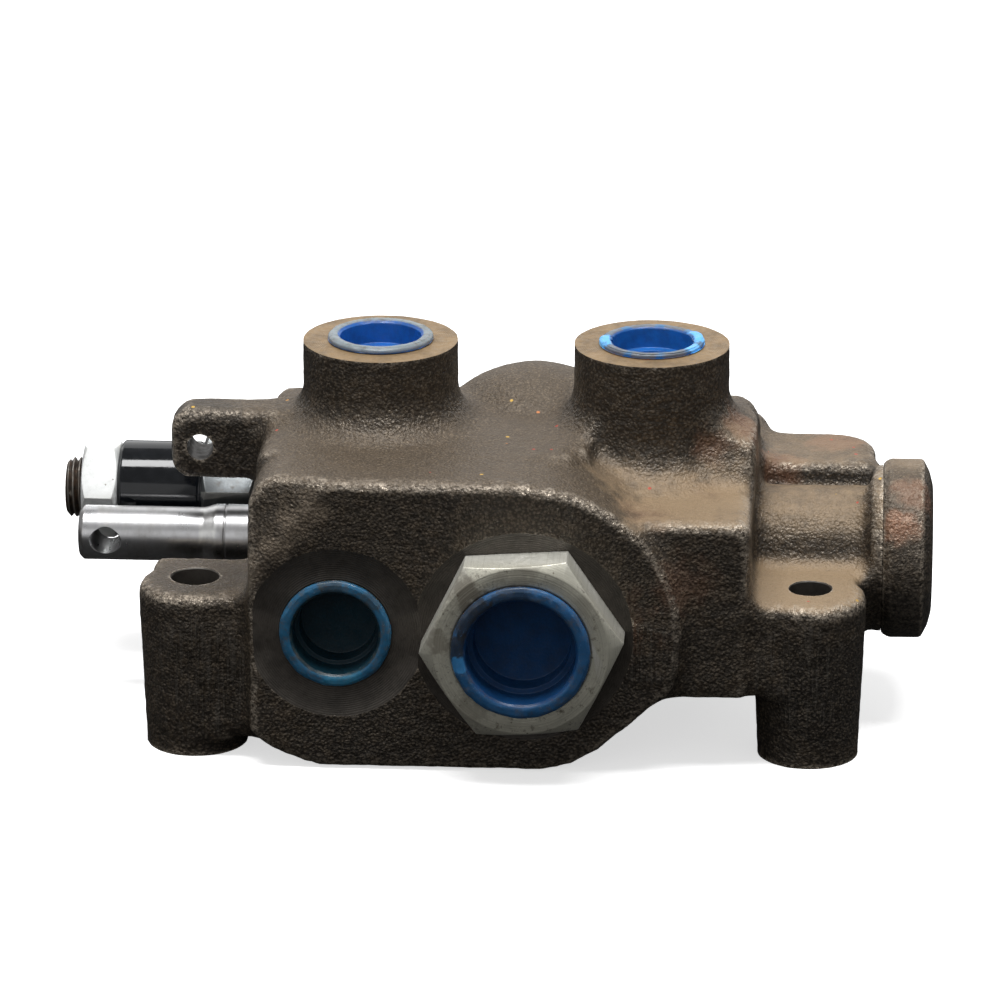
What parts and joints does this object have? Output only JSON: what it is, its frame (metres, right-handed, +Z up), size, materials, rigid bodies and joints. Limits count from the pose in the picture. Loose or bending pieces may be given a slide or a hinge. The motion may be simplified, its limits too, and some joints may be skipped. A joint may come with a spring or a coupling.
{
  "type": "hydraulic directional control valve",
  "caption": "Monoblock hydraulic valve in cast iron: spring-centred spool with drilled tang, parallel relief cartridge, top work ports, front inlet and outlet, two mounting legs",
  "frame": {"origin": "On the mounting face (undersides of the legs), midway between the two work ports, straight below the spool axis", "axes": "+Z up out of the mounting face; +X along the spool from the tang to the spring cap; -Y to the front, where the inlet and outlet ports open"},
  "size_m": [0.227, 0.1131, 0.0992],
  "materials": {
    "casting": "as cast, oily",
    "ground_steel": "ground and polished",
    "cap_iron": "as cast, rusty",
    "zinc": "zinc plated, grimy",
    "black_sleeve": "black, glossy",
    "black_oxide": "black oxide",
    "hard_steel": "hardened steel",
    "spring_steel": "spring steel",
    "rubber": "nitrile rubber",
    "blue_plastic": "blue polyethylene"
  },
  "bodies": {
    "housing": {"valve_body": "casting", "spool_seal_left": "rubber", "spool_seal_right": "rubber", "spool_wiper": "rubber", "end_cap": "cap_iron", "cap_oring": "rubber", "collar_inner": "hard_steel", "centring_spring": "spring_steel", "relief_collar": "zinc", "relief_sleeve": "black_sleeve", "relief_seat": "hard_steel", "relief_spring": "spring_steel", "relief_oring": "rubber", "check_spring": "spring_steel", "check_plug": "black_oxide", "check_oring": "rubber", "outlet_adapter": "zinc", "adapter_oring": "rubber"},
    "spool_unit": {"spool": "ground_steel", "spool_spacer": "hard_steel", "spool_bolt": "black_oxide", "collar_outer": "hard_steel"},
    "relief_nut": {"relief_locknut": "zinc"},
    "relief_seat_guide": {"relief_guide": "hard_steel"},
    "relief_screw_body": {"relief_screw": "black_oxide"},
    "relief_poppet_body": {"relief_poppet": "hard_steel"},
    "check_poppet_body": {"check_poppet": "hard_steel"},
    "plug_a": {"plug_work_a": "blue_plastic"},
    "plug_b": {"plug_work_b": "blue_plastic"},
    "plug_in": {"plug_inlet": "blue_plastic"},
    "plug_out": {"plug_outlet": "blue_plastic"}
  },
  "joints": [
    {"name": "spool_slide", "type": "slide", "parent": "housing", "child": "spool_unit", "axis": [1, 0, 0], "range_m": [-0.008, 0.008], "stiffness_N_per_m": 6000, "deforming": ["centring_spring"]},
    {"name": "relief_screw_advance", "type": "slide", "parent": "housing", "child": "relief_seat_guide", "axis": [1, 0, 0], "range_m": [-0.00319, 0.00159], "deforming": ["relief_spring"]},
    {"name": "relief_screw_turn", "type": "hinge", "parent": "relief_seat_guide", "child": "relief_screw_body", "pos_m": [-0.11, 0.028, 0.0459], "axis": [1, 0, 0], "range_deg": [-720, 360]},
    {"name": "relief_locknut_turn", "type": "hinge", "parent": "housing", "child": "relief_nut", "pos_m": [-0.11, 0.028, 0.0459], "axis": [1, 0, 0], "range_deg": [-360, 0]},
    {"name": "relief_poppet_lift", "type": "slide", "parent": "housing", "child": "relief_poppet_body", "axis": [-1, 0, 0], "range_m": [0, 0.0025], "stiffness_N_per_m": 4000, "deforming": ["relief_spring"]},
    {"name": "check_poppet_lift", "type": "slide", "parent": "housing", "child": "check_poppet_body", "axis": [0, 1, 0], "range_m": [0, 0.004], "stiffness_N_per_m": 400, "deforming": ["check_spring"]},
    {"name": "plug_work_a_pull", "type": "slide", "parent": "housing", "child": "plug_a", "axis": [0, 0, 1], "range_m": [0, 0.03]},
    {"name": "plug_work_b_pull", "type": "slide", "parent": "housing", "child": "plug_b", "axis": [0, 0, 1], "range_m": [0, 0.03]},
    {"name": "plug_inlet_pull", "type": "slide", "parent": "housing", "child": "plug_in", "axis": [0, -1, 0], "range_m": [0, 0.03]},
    {"name": "plug_outlet_pull", "type": "slide", "parent": "housing", "child": "plug_out", "axis": [0, -1, 0], "range_m": [0, 0.035]}
  ],
  "couplings": [
    {"joint": "relief_screw_turn", "follows": "relief_screw_advance", "rad_per_m": 3927}
  ]
}
